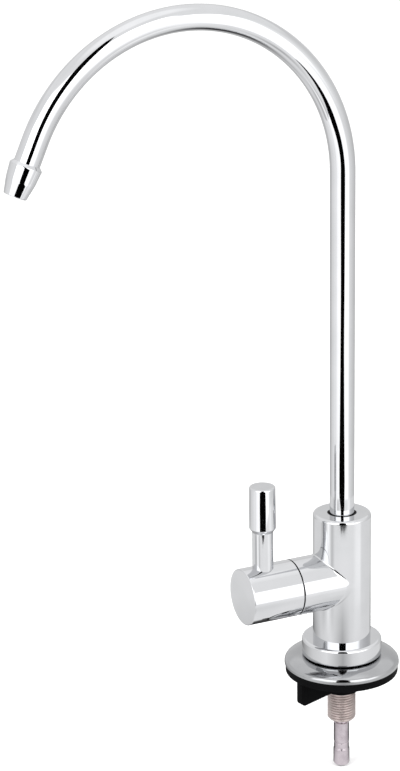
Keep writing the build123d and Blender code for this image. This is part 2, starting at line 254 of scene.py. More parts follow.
def keep_modified(piece):
    """Keeps what a piece's modifiers make as its plain mesh."""
    bpy.context.view_layer.update()
    evaluated = piece.evaluated_get(bpy.context.evaluated_depsgraph_get())
    mesh = bpy.data.meshes.new_from_object(evaluated)
    piece.modifiers.clear()
    old = piece.data
    piece.data = mesh
    bpy.data.meshes.remove(old)
    return piece


def joined(piece, others, operation):
    """Joins other pieces to this one, or cuts them from it, and removes them."""
    for other in others:
        step = piece.modifiers.new("join", "BOOLEAN")
        step.operation = operation
        step.solver = "MANIFOLD"
        step.object = other
    keep_modified(piece)
    shell = bmesh.new()
    shell.from_mesh(piece.data)
    bmesh.ops.remove_doubles(shell, verts=shell.verts[:], dist=speck)
    shell.to_mesh(piece.data)
    shell.free()
    for other in others:
        bpy.data.objects.remove(other)
    return piece


def surface_distance(points, place, radius, foot, top, foot_round, top_round):
    """Distance of points to a turned bar with rounded edges, and its outward direction there."""
    turn = np.array(place.to_3x3())
    local = (points - np.array(place.translation)) @ turn
    around = np.hypot(local[:, 0], local[:, 1])
    middle = (foot + top) / 2
    above = local[:, 2] > middle
    edge = np.where(above, top_round, foot_round)
    across = around - (radius - edge)
    along = np.abs(local[:, 2] - middle) - ((top - foot) / 2 - edge)
    both = (across > 0) & (along > 0)
    corner = np.hypot(across, along)
    safe = np.maximum(corner, tiny)
    part_across = np.where(both, across / safe, (across >= along).astype(float))
    part_along = np.where(both, along / safe, (across < along).astype(float))
    distance = np.where(both, corner, np.maximum(across, along)) - edge
    scale = part_across / np.maximum(around, tiny)
    direction = np.stack(
        (local[:, 0] * scale, local[:, 1] * scale, np.where(above, part_along, -part_along)), axis=1
    )
    return distance, direction @ turn.T


def blended_distance(points, bars, fillet):
    """The union of two bars with a fillet between them: distance and outward direction."""
    (first, first_out), (second, second_out) = (surface_distance(points, *bar) for bar in bars)
    near_first = np.maximum(fillet - first, 0)
    near_second = np.maximum(fillet - second, 0)
    reach = np.maximum(np.hypot(near_first, near_second), tiny)
    rounded = (first < fillet) & (second < fillet)
    plain_first = (first <= second)[:, None]
    blended = fillet - reach
    blended_out = near_first[:, None] * first_out + near_second[:, None] * second_out
    blended_out /= reach[:, None]
    distance = np.where(rounded, blended, np.minimum(first, second))
    direction = np.where(rounded[:, None], blended_out, np.where(plain_first, first_out, second_out))
    return distance, direction


def mesh_points(mesh):
    points = np.empty(len(mesh.vertices) * 3)
    mesh.vertices.foreach_get("co", points)
    return points.reshape(-1, 3)


def dress_normals(mesh, surface):
    """Gives the faces that lie on the surface its exact normals, and leaves bores as they are."""
    points = mesh_points(mesh)
    distance, direction = surface(points)
    mesh.shade_smooth()
    mesh.set_sharp_from_angle(angle=bore_edge_angle)
    normals = np.zeros((len(mesh.loops), 3))
    for face in mesh.polygons:
        corners = list(face.vertices)
        if np.abs(distance[corners]).max() > surface_tolerance:
            continue
        facing = direction[corners].mean(axis=0)
        if np.dot(facing, face.normal) < facing_away:
            continue
        normals[list(face.loop_indices)] = direction[corners]
    lengths = np.linalg.norm(normals, axis=1)
    dressed = lengths > 0
    normals[dressed] /= lengths[dressed, None]
    mesh.normals_split_custom_set([tuple(normal) for normal in normals])


def beside_joint(points, bars, fillet):
    """Which points lie outside two bars and near both of them."""
    first = surface_distance(points, *bars[0])[0]
    second = surface_distance(points, *bars[1])[0]
    return (np.minimum(first, second) > -speck / 2) & (first < fillet) & (second < fillet)


def round_the_joint(mesh, bars, fillet):
    """Moves the points beside the joint of two bars onto the fillet between them, evenly spread."""
    shell = bmesh.new()
    shell.from_mesh(mesh)
    bmesh.ops.triangulate(shell, faces=shell.faces[:])
    near = beside_joint(mesh_points(mesh), bars, fillet)
    crowded = [point for point, is_near in zip(shell.verts, near) if is_near]
    bmesh.ops.remove_doubles(shell, verts=crowded, dist=weld)
    shell.to_mesh(mesh)
    shell.free()
    points = mesh_points(mesh)
    moving = beside_joint(points, bars, fillet)
    edges = np.array([edge.vertices[:] for edge in mesh.edges])

    def pull_onto_surface(times):
        for _ in range(times):
            distance, direction = blended_distance(points, bars, fillet)
            points[moving] -= (distance[:, None] * direction)[moving]

    for _ in range(fillet_passes):
        pull_onto_surface(pulls_in_pass)
        total = np.zeros_like(points)
        count = np.zeros(len(points))
        for a, b in ((0, 1), (1, 0)):
            np.add.at(total, edges[:, a], points[edges[:, b]])
            np.add.at(count, edges[:, a], 1)
        points[moving] = (0.5 * points + 0.5 * total / count[:, None])[moving]
    pull_onto_surface(last_pulls)
    mesh.vertices.foreach_set("co", points.ravel())
    mesh.update()


# Node trees
cloud_low, cloud_high = 0.35, 0.7
grain_scale, patch_scale = 2500.0, 180.0
line_scale, line_stretch = 4000.0, (0.02, 0.02, 1.0)
moulded_cloud_scale = 260.0
bump_height = 0.02 * MM


def wire(tree, kind, settings=None, **inputs):
    """A node with its settings, and its inputs, by name or as i0, i1, from values or from sockets."""
    made = tree.nodes.new(kind)
    for key, value in (settings or {}).items():
        setattr(made, key, value)
    for key, value in inputs.items():
        by_number = key[0] == "i" and key[1:].isdigit()
        socket = made.inputs[int(key[1:]) if by_number else key.replace("_", " ")]
        if isinstance(value, bpy.types.NodeSocket):
            tree.links.new(value, socket)
        else:
            socket.default_value = value
    return made


def ramp(tree, factor, stops):
    """A colour ramp with (position, colour) stops, where a bare number is a grey."""
    made = tree.nodes.new("ShaderNodeValToRGB")
    elements = made.color_ramp.elements
    while len(elements) > 1:
        elements.remove(elements[-1])
    for index, (position, colour) in enumerate(stops):
        stop = elements[0] if index == 0 else elements.new(position)
        stop.position = position
        stop.color = (*colour, 1) if isinstance(colour, tuple) else (colour, colour, colour, 1)
    tree.links.new(factor, made.inputs["Fac"])
    return made.outputs["Color"]


def new_group(name, inputs, outputs, family="Shader"):
    """A node group with inputs (name, kind, perhaps a default) and outputs (name, kind)."""
    tree = bpy.data.node_groups.new(name, family + "NodeTree")
    for label, kind, *default in inputs:
        socket = tree.interface.new_socket(label, in_out="INPUT", socket_type="NodeSocket" + kind)
        if default:
            socket.default_value = default[0]
    for label, kind in outputs:
        tree.interface.new_socket(label, in_out="OUTPUT", socket_type="NodeSocket" + kind)
    return tree, tree.nodes.new("NodeGroupInput").outputs, tree.nodes.new("NodeGroupOutput").inputs


def handling_haze():
    """Soft cloudy wear of a polished or satin surface: a mask, and a roughness between two values."""
    tree, given, out = new_group(
        "handling_haze",
        [("Vector", "Vector")] + [(label, "Float") for label in ("Scale", "Smooth", "Hazy")],
        [("Roughness", "Float"), ("Mask", "Float")],
    )
    cloud = wire(tree, "ShaderNodeTexNoise", Vector=given["Vector"], Scale=given["Scale"], Detail=4.0)
    limits = {"From_Min": cloud_low, "From_Max": cloud_high}
    mask = wire(tree, "ShaderNodeMapRange", Value=cloud.outputs["Fac"], **limits).outputs["Result"]
    limits = {"To_Min": given["Smooth"], "To_Max": given["Hazy"]}
    roughness = wire(tree, "ShaderNodeMapRange", Value=mask, **limits).outputs["Result"]
    tree.links.new(roughness, out["Roughness"])
    tree.links.new(mask, out["Mask"])
    return tree


def fine_grain():
    """Small even grain of moulded or rubber surfaces, as a height for a bump."""
    tree, given, out = new_group(
        "fine_grain",
        [("Vector", "Vector"), ("Scale", "Float", grain_scale)],
        [("Height", "Float"), ("Mask", "Float")],
    )
    grain = wire(tree, "ShaderNodeTexNoise", Vector=given["Vector"], Scale=given["Scale"], Detail=3.0)
    patches = wire(tree, "ShaderNodeTexNoise", Vector=given["Vector"], Scale=patch_scale, Detail=3.0)
    tree.links.new(grain.outputs["Fac"], out["Height"])
    tree.links.new(patches.outputs["Fac"], out["Mask"])
    return tree


def turning_lines():
    """Fine rings that a lathe leaves across the axis, as a height for a bump."""
    tree, given, out = new_group(
        "turning_lines",
        [("Vector", "Vector"), ("Pitch", "Float", line_scale)],
        [("Height", "Float")],
    )
    stretched = wire(tree, "ShaderNodeMapping", Vector=given["Vector"], Scale=line_stretch).outputs["Vector"]
    lines = wire(tree, "ShaderNodeTexNoise", Vector=stretched, Scale=given["Pitch"], Detail=2.0)
    tree.links.new(lines.outputs["Fac"], out["Height"])
    return tree


haze_group = handling_haze()
grain_group = fine_grain()
lines_group = turning_lines()


def new_material(name):
    """A material with its Principled shader and object coordinates ready to wire."""
    material = bpy.data.materials.new(name)
    material.use_nodes = True
    tree = material.node_tree
    shader = tree.nodes["Principled BSDF"]
    place = tree.nodes.new("ShaderNodeTexCoord").outputs["Object"]
    return material, tree, shader, place


def grouped(tree, group, **inputs):
    return wire(tree, "ShaderNodeGroup", {"node_tree": group}, **inputs).outputs


def bumped(tree, shader, height, strength):
    bump = wire(tree, "ShaderNodeBump", Height=height, Strength=strength, Distance=bump_height)
    tree.links.new(bump.outputs["Normal"], shader.inputs["Normal"])


def tinted(tree, shader, mask, clean, worn):
    """Base colour that moves between two close shades."""
    tree.links.new(ramp(tree, mask, [(0.0, clean), (1.0, worn)]), shader.inputs["Base Color"])


def metal(name, clean, worn, smooth, hazy, scale, lines=0.0):
    """A metal with cloudy wear, and turning lines where it is left as turned."""
    material, tree, shader, place = new_material(name)
    shader.inputs["Metallic"].default_value = 1.0
    haze = grouped(tree, haze_group, Vector=place, Scale=scale, Smooth=smooth, Hazy=hazy)
    tree.links.new(haze["Roughness"], shader.inputs["Roughness"])
    tinted(tree, shader, haze["Mask"], clean, worn)
    if lines:
        rings = grouped(tree, lines_group, Vector=place)
        bumped(tree, shader, rings["Height"], lines)
    return material


def moulded(name, clean, worn, smooth, hazy, grain, specular=0.5):
    """A plastic, rubber or ceramic with fine grain and cloudy patches."""
    material, tree, shader, place = new_material(name)
    shader.inputs["Specular IOR Level"].default_value = specular
    haze = grouped(tree, haze_group, Vector=place, Scale=moulded_cloud_scale, Smooth=smooth, Hazy=hazy)
    tree.links.new(haze["Roughness"], shader.inputs["Roughness"])
    skin = grouped(tree, grain_group, Vector=place)
    tinted(tree, shader, skin["Mask"], clean, worn)
    bumped(tree, shader, skin["Height"], grain)
    return material


# Metals: clean colour, worn colour, roughness from and to, fineness of the wear, turning lines
metals = {
    "polished_chrome": ((0.63, 0.635, 0.65), (0.60, 0.607, 0.62), 0.035, 0.06, 90.0),
    "satin_chrome": ((0.42, 0.425, 0.435), (0.38, 0.385, 0.395), 0.05, 0.11, 90.0),
    "nickelled_thread": ((0.58, 0.505, 0.49), (0.46, 0.40, 0.385), 0.36, 0.48, 300.0, 0.3),
    "stem_tube": ((0.57, 0.515, 0.55), (0.46, 0.41, 0.445), 0.18, 0.28, 260.0, 0.3),
    "turned_brass": ((0.80, 0.58, 0.28), (0.70, 0.50, 0.24), 0.2, 0.34, 200.0, 0.4),
    "spring_steel": ((0.55, 0.56, 0.58), (0.45, 0.46, 0.48), 0.22, 0.35, 240.0, 0.2),
}
# The others: clean colour, worn colour, roughness from and to, grain, and shine where it is low
others = {
    "black_rubber": ((0.0025, 0.0025, 0.0028), (0.005, 0.005, 0.0055), 0.35, 0.5, 0.25, 0.015),
    "black_plastic": ((0.002, 0.002, 0.0022), (0.004, 0.004, 0.0044), 0.25, 0.38, 0.15, 0.015),
    "white_plastic": ((0.78, 0.77, 0.74), (0.72, 0.71, 0.68), 0.35, 0.5, 0.1),
    "ceramic_disc": ((0.86, 0.85, 0.81), (0.80, 0.79, 0.76), 0.22, 0.34, 0.08),
}
finishes = {name: metal(name, *values) for name, values in metals.items()}
finishes.update({name: moulded(name, *values) for name, values in others.items()})
node_slots = {part["node"]: part["material_slot"] for part in frame["record"]["subparts"]}
for node_name, node_object in frame["nodes"].items():
    node_object.data.materials.clear()
    node_object.data.materials.append(finishes[node_slots[node_name]])


def fitted(piece, body, node):
    """A finished piece: gives it the finish of the node it stands for, hangs it on the body it moves with,
    and hides the node.
    """
    slot_name = node_slots[node]
    piece.data.materials.clear()
    piece.data.materials.append(finishes[slot_name])
    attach(piece, body)
    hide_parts(node)


# Plate, gasket and collar
plate_lip_top = plate_foot + 0.8 * MM
plate_slope = math.radians(28.0)
plate_shoulder_round = 1.8 * MM
plate_crown_round = 11.8 * MM
plate_inner_shoulder_round = 0.8 * MM
plate_inner_crown_round = 10.0 * MM
plate_lip_round = 0.15 * MM
plate_thickness = 1.0 * MM
gasket_bead = 0.4 * MM
gasket_bead_width = 0.95 * MM
gasket_bead_round = 0.12 * MM
gasket_foot_round = 0.3 * MM
gasket_rim_round = 0.15 * MM
gasket_boss_radius = 14.4 * MM
collar_foot_round = 0.8 * MM
collar_top_round = 1.1 * MM
collar_seal_width = 2.6 * MM
ring_edge = 0.12 * MM


def cover_plate_dome():
    shoulder = plate_lip_top + plate_shoulder_round * math.tan(math.pi / 4 - plate_slope / 2)
    crown = plate_radius - (plate_top - shoulder) / math.tan(plate_slope)
    bore = shank_radius + gap
    ceiling = plate_top - plate_thickness
    inside = plate_radius - plate_thickness
    shoulder_inside = shoulder + plate_thickness * (math.sin(plate_slope) - 1) / math.cos(plate_slope)
    crown_inside = crown - plate_thickness * math.tan(plate_slope / 2)
    return turned(
        "cover_plate_dome",
        [
            (bore, ceiling),
            (crown_inside, ceiling, plate_inner_crown_round),
            (inside, shoulder_inside, plate_inner_shoulder_round),
            (inside, plate_foot),
            (plate_radius, plate_foot, plate_lip_round),
            (plate_radius, shoulder, plate_shoulder_round),
            (crown, plate_top, plate_crown_round),
            (bore, plate_top),
        ],
    )


def deck_gasket_disc():
    bead_inside = gasket_radius - gasket_bead_width
    return turned(
        "deck_gasket_disc",
        [
            (shank_radius + gap, gasket_foot + gasket_bead),
            (bead_inside, gasket_foot + gasket_bead),
            (bead_inside, gasket_foot, gasket_bead_round),
            (gasket_radius, gasket_foot, gasket_foot_round),
            (gasket_radius, plate_foot, gasket_rim_round),
            (gasket_boss_radius, plate_foot),
            (gasket_boss_radius, gasket_top),
            (shank_radius + gap, gasket_top),
        ],
    )


def base_collar_ring():
    return turned(
        "base_collar_ring",
        [
            (body_spigot_radius + gap, collar_foot),
            (collar_radius, collar_foot, collar_foot_round),
            (collar_radius, collar_top, collar_top_round),
            (body_spigot_radius + gap, collar_top),
        ],
    )


def collar_seal_ring():
    radius, foot, top = span("collar_seal")
    inner = radius - collar_seal_width
    return turned("collar_seal_ring", ring_outline(inner, radius, foot, top, ring_edge))


# Body: upright and valve arm in one, with its bores
body_round = 1.2 * MM
arm_round = 0.3 * MM
joint_fillet = 0.4 * MM
body_foot = collar_top
mouth_radius = 9.0 * MM
mouth_depth = 3.7 * MM
chamber_radius = 8.0 * MM
chamber_back = 1.0 * MM
socket_depth = 15.4 * MM
bush_chamfer = 0.15 * MM
shank_seat_depth = 1.5 * MM
ring_pitch = 0.4 * MM
joint_steps = 256
cut_steps = 96
small_cut_steps = 64
overshoot = 1.0 * MM
far_below = 20.0 * MM


def banded(outline_side, foot, top):
    """Rings along a plain side, so that a joint that crosses it has points to bend."""
    count = math.ceil((top - foot) / ring_pitch)
    return [(outline_side, foot + (top - foot) * step / count) for step in range(1, count)]


def bore_cut(radius, foot, top, place=upright, steps=cut_steps):
    """A bar that cuts a bore."""
    return turned("cut", rod_outline(radius, foot, top), place, steps=steps)


def body_shell():
    side = [
        (0, plate_top),
        (body_spigot_radius, plate_top),
        (body_spigot_radius, body_foot),
        (body_radius, body_foot),
        *banded(body_radius, body_foot, body_top - body_round - ring_pitch),
        (body_radius, body_top, body_round),
        (bush_radius + bush_chamfer, body_top),
        (bush_radius, body_top - bush_chamfer),
        (bush_radius, body_top - socket_depth),
        (0, body_top - socket_depth),
    ]
    post = turned("body_shell", side, steps=joint_steps)
    arm_side = [
        (0, 0),
        (arm_radius, 0),
        *banded(arm_radius, 0, arm_mouth - arm_round - ring_pitch),
        (arm_radius, arm_mouth, arm_round),
        (0, arm_mouth),
    ]
    arm = turned("arm", arm_side, along_arm, steps=joint_steps)
    joined(post, [arm], "UNION")
    seat_top = shank_top + shank_seat_depth
    opening = arm_mouth + overshoot
    seat = bore_cut(shank_radius + gap, plate_top - overshoot, seat_top, upright, small_cut_steps)
    chamber = bore_cut(chamber_radius, chamber_back, opening, along_arm)
    mouth = bore_cut(mouth_radius, arm_mouth - mouth_depth, opening, along_arm)
    joined(post, [seat, chamber, mouth], "DIFFERENCE")
    bars = [
        (upright, body_radius, body_foot - far_below, body_top, body_round, body_round),
        (along_arm, arm_radius, 0, arm_mouth, arm_round, arm_round),
    ]
    round_the_joint(post.data, bars, joint_fillet)
    dress_normals(post.data, lambda points: blended_distance(points, bars, joint_fillet))
    return post


# Edge of the slip ring, as (rise over its radius, spread to each side)
ring_flare = [(0.4 * MM, 0), (0.52 * MM, 0.02 * MM), (0.6 * MM, 0.065 * MM), (0.65 * MM, 0.12 * MM)]


def hub_slip_ring_band():
    """The ring fills the groove that the rounded edges of arm and hub leave between them."""
    near = [(ring_radius + rise, arm_mouth - spread) for rise, spread in ring_flare]
    far = [(ring_radius + rise, ring_end + spread) for rise, spread in reversed(ring_flare)]
    outline = [(mouth_radius, arm_mouth), *near, *far, (mouth_radius, ring_end)]
    return turned("hub_slip_ring_band", outline, along_arm)


def spout_bush_ring():
    outline = ring_outline(tube_radius + play, bush_radius - gap, bush_foot, bush_top, ring_edge)
    return turned("spout_bush_ring", outline)


# Hub and lever
hub_front_round = 0.45 * MM
hub_rear_round = 0.3 * MM
hub_recess_depth = 2.5 * MM
lever_neck_radius = 4.05 * MM
grip_foot = arm_height + 25.5 * MM
grip_chamfer = 1.6 * MM
grip_top_radius = 5.0 * MM
grip_round = 0.6 * MM
grip_edge_round = 0.25 * MM


def handle_hub_drum():
    hub = turned(
        "handle_hub_drum",
        [
            (0, hub_start + hub_recess_depth),
            (mouth_radius, hub_start + hub_recess_depth),
            (mouth_radius, hub_start),
            (arm_radius, hub_start, hub_rear_round),
            (arm_radius, hub_end, hub_front_round),
            (0, hub_end),
        ],
        along_arm,
    )
    neck_seat = bore_cut(lever_neck_radius + gap, lever_foot, lever_top, along_lever, turn_steps)
    stud_hole = bore_cut(stud_radius, arm_height, lever_top, along_lever, small_cut_steps)
    spindle_bore = bore_cut(spindle_radius + gap, hub_start, spindle_end, along_arm, small_cut_steps)
    joined(hub, [neck_seat, stud_hole, spindle_bore], "DIFFERENCE")
    bar = (along_arm, arm_radius, hub_start, hub_end, hub_rear_round, hub_front_round)
    dress_normals(hub.data, lambda points: surface_distance(points, *bar))
    return hub


def lever_pin():
    return turned(
        "lever_pin",
        [
            (stud_radius, lever_foot),
            (lever_neck_radius, lever_foot),
            (lever_neck_radius, grip_foot, grip_edge_round),
            (lever_radius, grip_foot + grip_chamfer, grip_edge_round),
            (grip_top_radius, lever_top, grip_round),
            (0, lever_top),
            (0, stud_top),
            (stud_radius, stud_top),
        ],
        along_lever,
    )


# Spout: straight, bend and tip in one tube, and the nozzle on its end
bend_steps = 104
tube_steps = 128
sideways = Vector((1, 0, 0))
nozzle_start_radius = 4.95 * MM
nozzle_start_round = 0.06 * MM
nozzle_shoulder = 1.1 * MM
nozzle_shoulder_round = 0.5 * MM
nozzle_mouth_radius = 4.2 * MM
nozzle_mouth_round = 0.4 * MM
nozzle_bulge = 0.3 * MM
nozzle_bore_radius = 3.3 * MM
nozzle_play = 0.8 * MM


def tube_stations():
    """Places along the tube's middle line, as (point, direction)."""
    stations = [(Vector((0, 0, tube_foot)), Vector((0, 0, 1)))]
    for step in range(bend_steps + 1):
        angle = bend_angle * step / bend_steps
        out, up = 1 - math.cos(angle), math.sin(angle)
        middle = Vector((0, -bend_radius * out, bend_foot + bend_radius * up))
        stations.append((middle, Vector((0, -up, math.cos(angle)))))
    end, direction = stations[-1]
    stations.append((end + direction * (tube_tip + nozzle_grip), direction))
    return stations


def spout_gooseneck():
    """The tube as rows of points: out along its outside and back along its bore."""
    stations = tube_stations()
    rows = [(place, tube_radius, 1) for place in stations]
    rows += [(place, tube_radius - tube_wall, -1) for place in reversed(stations)]
    points = []
    outs = []
    for (middle, direction), radius, side in rows:
        up = direction.cross(sideways)
        for step in range(tube_steps):
            angle = 2 * math.pi * step / tube_steps
            out = sideways * math.cos(angle) + up * math.sin(angle)
            points.append(middle + out * radius)
            outs.append(out * side)
    faces = []
    normals = []
    for index, ((_, direction), _, side) in enumerate(rows):
        following = (index + 1) % len(rows)
        is_rim = rows[following][2] != side
        for step in range(tube_steps):
            after = (step + 1) % tube_steps
            near, far = index * tube_steps, following * tube_steps
            quad = [near + step, near + after, far + after, far + step]
            faces.append(quad)
            normals.extend([direction * side] * 4 if is_rim else [outs[corner] for corner in quad])
    return mesh_piece("spout_gooseneck", points, faces, normals)


def nozzle_place():
    end, direction = tube_stations()[-1]
    start = end - direction * nozzle_grip
    turn = Matrix((sideways, direction.cross(sideways), direction)).transposed().to_4x4()
    return Matrix.Translation(start) @ turn


def spout_nozzle():
    grip = nozzle_grip + nozzle_play
    half_way = (nozzle_shoulder + nozzle_length) / 2
    belly = (nozzle_radius + nozzle_mouth_radius) / 2 + nozzle_bulge
    return turned(
        "spout_nozzle",
        [
            (nozzle_bore_radius, nozzle_length),
            (nozzle_bore_radius, grip),
            (tube_radius + gap, grip),
            (tube_radius + gap, 0),
            (nozzle_start_radius, 0, nozzle_start_round),
            (nozzle_radius, nozzle_shoulder, nozzle_shoulder_round),
            (belly, half_way, nozzle_length),
            (nozzle_mouth_radius, nozzle_length, nozzle_mouth_round),
        ],
        nozzle_place(),
    )


# Shank and stem
thread_pitch = 1.058 * MM
thread_depth = 0.55 * MM
thread_crest, thread_root = 0.16, 0.86
thread_end = gasket_foot + 6.0 * MM
rings_in_pitch = 10
shank_chamfer = 0.9 * MM
shank_waterway_radius = 2.2 * MM
shank_steps = 128
thread_edge_angle = math.radians(50)
stem_socket_depth = 15.0 * MM
stem_foot_round = 0.9 * MM
stem_bore_round = 0.2 * MM
waist_radius = stem_radius - 0.2 * MM
waist_round = 0.6 * MM
groove_radius = 2.8 * MM
groove_top = stem_foot + 10.0 * MM
groove_foot = stem_foot + 9.4 * MM
groove_chamfer = 0.1 * MM
waist_cone_foot = groove_foot - 3.0 * MM
waist_cone_top = groove_foot - 2.1 * MM
relief_depth = 0.35 * MM
relief_middle = shank_foot - 1.3 * MM


def thread_tree():
    """Cuts a helical thread into every point that lies at the crest radius."""
    sizes = [(label, "Float") for label in ("Crest Radius", "Pitch", "Depth", "Foot", "Lead In")]
    tree, given, result = new_group(
        "cut_thread",
        [("Geometry", "Geometry"), *sizes, ("Finish", "Material")],
        [("Geometry", "Geometry")],
        "Geometry",
    )

    def calc(operation, first, second=None):
        made = wire(tree, "ShaderNodeMath", {"operation": operation})
        for socket, value in zip(made.inputs, (first, second)):
            if isinstance(value, bpy.types.NodeSocket):
                tree.links.new(value, socket)
            elif value is not None:
                socket.default_value = value
        return made.outputs[0]

    place = tree.nodes.new("GeometryNodeInputPosition").outputs[0]
    parts = wire(tree, "ShaderNodeSeparateXYZ", Vector=place).outputs
    x_square = calc("MULTIPLY", parts["X"], parts["X"])
    y_square = calc("MULTIPLY", parts["Y"], parts["Y"])
    radius = calc("SQRT", calc("ADD", x_square, y_square))
    turn = calc("DIVIDE", calc("ARCTAN2", parts["Y"], parts["X"]), 2 * math.pi)
    height = calc("DIVIDE", parts["Z"], given["Pitch"])
    phase = calc("FRACT", calc("SUBTRACT", height, turn))
    ridge = calc("ABSOLUTE", calc("SUBTRACT", calc("MULTIPLY", phase, 2.0), 1.0))
    flank = wire(tree, "ShaderNodeMapRange", Value=ridge, From_Min=thread_crest, From_Max=thread_root)
    cut = calc("MULTIPLY", flank.outputs["Result"], given["Depth"])
    above_foot = calc("SUBTRACT", parts["Z"], given["Foot"])
    lead = wire(tree, "ShaderNodeMapRange", Value=above_foot, From_Max=given["Lead In"])
    chamfer = calc("MULTIPLY", calc("SUBTRACT", 1.0, lead.outputs["Result"]), given["Lead In"])
    wanted = calc("SUBTRACT", given["Crest Radius"], calc("MAXIMUM", cut, chamfer))
    scale = calc("DIVIDE", wanted, radius)
    flat = wire(tree, "ShaderNodeCombineXYZ", X=scale, Y=scale, Z=1.0).outputs[0]
    moved = wire(tree, "ShaderNodeVectorMath", {"operation": "MULTIPLY"}, i0=place, i1=flat).outputs[0]
    near_crest = calc("SUBTRACT", given["Crest Radius"], surface_tolerance)
    compare = {"operation": "GREATER_THAN"}
    chosen = wire(tree, "FunctionNodeCompare", compare, A=radius, B=near_crest).outputs[0]
    shaped = wire(
        tree, "GeometryNodeSetPosition", Geometry=given["Geometry"], Selection=chosen, Position=moved
    ).outputs[0]
    real = wire(tree, "GeometryNodeRealizeInstances", Geometry=shaped).outputs[0]
    covered = wire(tree, "GeometryNodeSetMaterial", Geometry=real, Material=given["Finish"]).outputs[0]
    tree.links.new(covered, result["Geometry"])
    return tree


def shaped_by(piece, tree, **values):
    """Runs a Geometry Nodes tree over a piece and keeps the result as its plain mesh."""
    step = piece.modifiers.new(tree.name, "NODES")
    step.node_group = tree
    given = [item for item in tree.interface.items_tree if item.in_out == "INPUT"]
    identifiers = {item.name: item.identifier for item in given}
    for label, value in values.items():
        step[identifiers[label.replace("_", " ")]] = value
    return keep_modified(piece)


def threaded_shank_stud():
    thread_length = thread_end - shank_foot
    count = math.ceil(thread_length / thread_pitch * rings_in_pitch)
    side = [(shank_radius, shank_foot + thread_length * step / count) for step in range(count)]
    plain_radius = shank_radius - play
    socket_roof = shank_foot + stem_socket_depth
    shank = turned(
        "threaded_shank_stud",
        [
            (shank_bore_radius, shank_foot),
            *side,
            (shank_radius, thread_end),
            (shank_radius - thread_depth, thread_end + thread_depth),
            (plain_radius, thread_end + 2 * thread_depth),
            (plain_radius, shank_top),
            (shank_waterway_radius, shank_top),
            (shank_waterway_radius, socket_roof),
            (shank_bore_radius, socket_roof),
        ],
        steps=shank_steps,
    )
    shaped_by(
        shank,
        thread_tree(),
        Crest_Radius=shank_radius,
        Pitch=thread_pitch,
        Depth=thread_depth,
        Foot=shank_foot,
        Lead_In=shank_chamfer,
        Finish=finishes["nickelled_thread"],
    )
    shank.data.shade_smooth()
    shank.data.set_sharp_from_angle(angle=thread_edge_angle)
    return shank


def inlet_stem_pipe():
    return turned(
        "inlet_stem_pipe",
        [
            (stem_bore_radius, stem_foot, stem_bore_round),
            (stem_radius, stem_foot, stem_foot_round),
            (stem_radius, waist_cone_foot, waist_round),
            (waist_radius, waist_cone_top, waist_round),
            (waist_radius, groove_foot, 2 * groove_chamfer),
            (groove_radius, groove_foot + groove_chamfer),
            (groove_radius, groove_top - groove_chamfer),
            (stem_neck_radius, groove_top, groove_chamfer),
            (stem_neck_radius, relief_middle - relief_depth),
            (stem_neck_radius - relief_depth, relief_middle),
            (stem_neck_radius, relief_middle + relief_depth),
            (stem_neck_radius, stem_top),
            (stem_bore_radius, stem_top),
        ],
        steps=shank_steps,
    )


# Wing nut and its washer
nut_top = 0.25 * MM
nut_foot = -8.4 * MM
nut_top_radius = 9.0 * MM
nut_foot_radius = 6.9 * MM
wing_reach = 20.8 * MM
wing_thickness = 3.5 * MM
wing_tip_foot = -10.15 * MM
wing_root_radius = 6.2 * MM
wing_corner = 1.8 * MM
wing_angle = math.radians(-80.0)
wing_edge = 0.35 * MM
wing_edge_angle = math.radians(50)
wing_edge_segments = 3
nut_top_round = 0.3 * MM
nut_foot_round = 0.5 * MM
nut_edge_angle = math.radians(32)
washer_play = 3 * gap
washer_round = 0.1 * MM


def wing_blade(side):
    """One wing: a flat outline with a rounded lower corner, thickened and with its edges rounded."""
    runs = outline_runs(
        [
            (0, nut_foot),
            (wing_root_radius, nut_foot),
            (wing_reach, wing_tip_foot, wing_corner),
            (wing_reach, nut_top, nut_top_round),
            (0, nut_top),
        ]
    )
    outline = [run[0] for run in runs] + [runs[-1][1]]
    half = wing_thickness / 2
    turned_to = Matrix.Rotation(wing_angle + (0 if side > 0 else math.pi), 4, "Z")
    points = [turned_to @ Vector((corner.x, y, corner.y)) for y in (-half, half) for corner in outline]
    count = len(outline)
    faces = [list(range(count)), [count + index for index in reversed(range(count))]]
    for index in range(count):
        after = (index + 1) % count
        faces.append([after, index, count + index, count + after])
    blade = mesh_piece("wing_blade", points, faces)
    bevel = blade.modifiers.new("edges", "BEVEL")
    bevel.width = wing_edge
    bevel.segments = wing_edge_segments
    bevel.limit_method = "ANGLE"
    bevel.angle_limit = wing_edge_angle
    return keep_modified(blade)


def wing_nut_shell():
    core = turned(
        "wing_nut_shell",
        [
            (0, nut_foot),
            (nut_foot_radius, nut_foot, nut_foot_round),
            (nut_top_radius, nut_top, nut_top_round),
            (0, nut_top),
        ],
        steps=cut_steps,
    )
    joined(core, [wing_blade(1), wing_blade(-1)], "UNION")
    above_nut = nut_top + overshoot
    bore = bore_cut(shank_radius + play, nut_foot - overshoot, above_nut)
    recess = bore_cut(washer_radius + play, washer_foot - washer_play, above_nut)
    joined(core, [bore, recess], "DIFFERENCE")
    core.data.shade_smooth()
    core.data.set_sharp_from_angle(angle=nut_edge_angle)
    return core


def clamp_washer_ring():
    inner = shank_radius + play
    outline = ring_outline(inner, washer_radius, washer_foot, washer_top, washer_round)
    return turned("clamp_washer_ring", outline)


